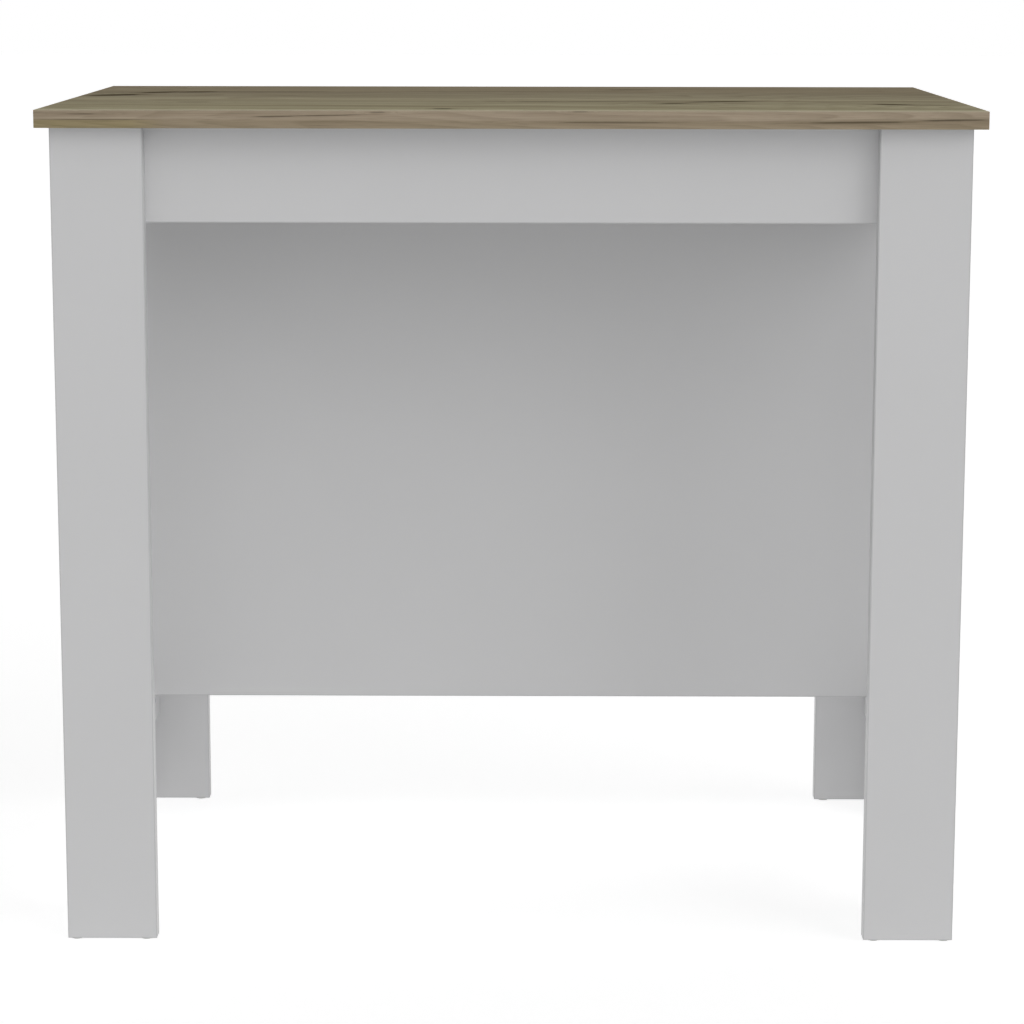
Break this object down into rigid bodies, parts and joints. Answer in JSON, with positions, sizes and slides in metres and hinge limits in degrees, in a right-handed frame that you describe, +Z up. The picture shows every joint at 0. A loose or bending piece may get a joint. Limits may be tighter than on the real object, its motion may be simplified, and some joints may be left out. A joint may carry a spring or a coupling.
{
  "type": "kitchen island",
  "caption": "Free-standing kitchen island: thin wood-decor worktop on white L-shaped legs, open knee space on one side and a shallow cabinet with inset hinged doors on the other.",
  "frame": {"origin": "on the floor, in the middle of the footprint", "axes": "+X along the width, to the right as seen from the seating side; -Y towards the seating side, +Y towards the cabinet side; +Z up"},
  "size_m": [1, 0.58, 0.912],
  "materials": {
    "oak_decor": "matt grey-brown knotty oak decor with the grain along the width",
    "oak_edging": "matt edging band with the same oak decor, slightly lighter",
    "white_board": "satin white melamine on particle board",
    "white_front": "satin white lacquered door",
    "brushed_metal": "brushed nickel-plated steel",
    "plated_steel": "bright zinc-plated steel",
    "zinc_casting": "plain die-cast zinc",
    "beech": "plain beech dowel",
    "grey_plastic": "light grey plastic"
  },
  "bodies": {
    "base": {"worktop": "oak_decor", "worktop_edging": "oak_edging", "leg_face_near_left": "white_board", "leg_face_near_right": "white_board", "leg_face_far_left": "white_board", "leg_face_far_right": "white_board", "leg_side_near_left": "white_board", "leg_side_near_right": "white_board", "leg_side_far_left": "white_board", "leg_side_far_right": "white_board", "near_apron": "white_board", "far_apron": "white_board", "upper_rail_left": "white_board", "upper_rail_right": "white_board", "lower_rail_left": "white_board", "lower_rail_right": "white_board", "knee_panel": "white_board", "cabinet_floor": "white_board", "gable_left": "white_board", "gable_right": "white_board", "centre_partition": "white_board", "shelf_left": "white_board", "shelf_right": "white_board", "shelf_pins": "plated_steel", "hinge_frame_leaves": "brushed_metal", "hinge_pins": "brushed_metal", "hinge_frame_screws": "plated_steel", "catch_cases": "grey_plastic", "catch_poles": "plated_steel", "catch_screws": "plated_steel", "cam_locks": "zinc_casting", "cam_bolts": "plated_steel", "dowels": "beech", "confirmat_screws": "plated_steel", "rail_screws": "plated_steel", "top_brackets": "plated_steel", "bracket_screws": "plated_steel", "glides": "grey_plastic"},
    "left_door": {"door_left": "white_front", "knob_left": "brushed_metal", "knob_screw_left": "plated_steel", "hinge_door_leaves_left": "brushed_metal", "hinge_door_screws_left": "plated_steel", "strike_plate_left": "plated_steel", "strike_screw_left": "plated_steel"},
    "right_door": {"door_right": "white_front", "knob_right": "brushed_metal", "knob_screw_right": "plated_steel", "hinge_door_leaves_right": "brushed_metal", "hinge_door_screws_right": "plated_steel", "strike_plate_right": "plated_steel", "strike_screw_right": "plated_steel"}
  },
  "joints": [
    {"name": "left_door_hinge", "type": "hinge", "parent": "base", "child": "left_door", "pos_m": [-0.3875, 0.2753, 0.5005], "axis": [0, 0, 1], "range_deg": [0, 180]},
    {"name": "right_door_hinge", "type": "hinge", "parent": "base", "child": "right_door", "pos_m": [0.3875, 0.2753, 0.5005], "axis": [0, 0, 1], "range_deg": [-180, 0]}
  ]
}
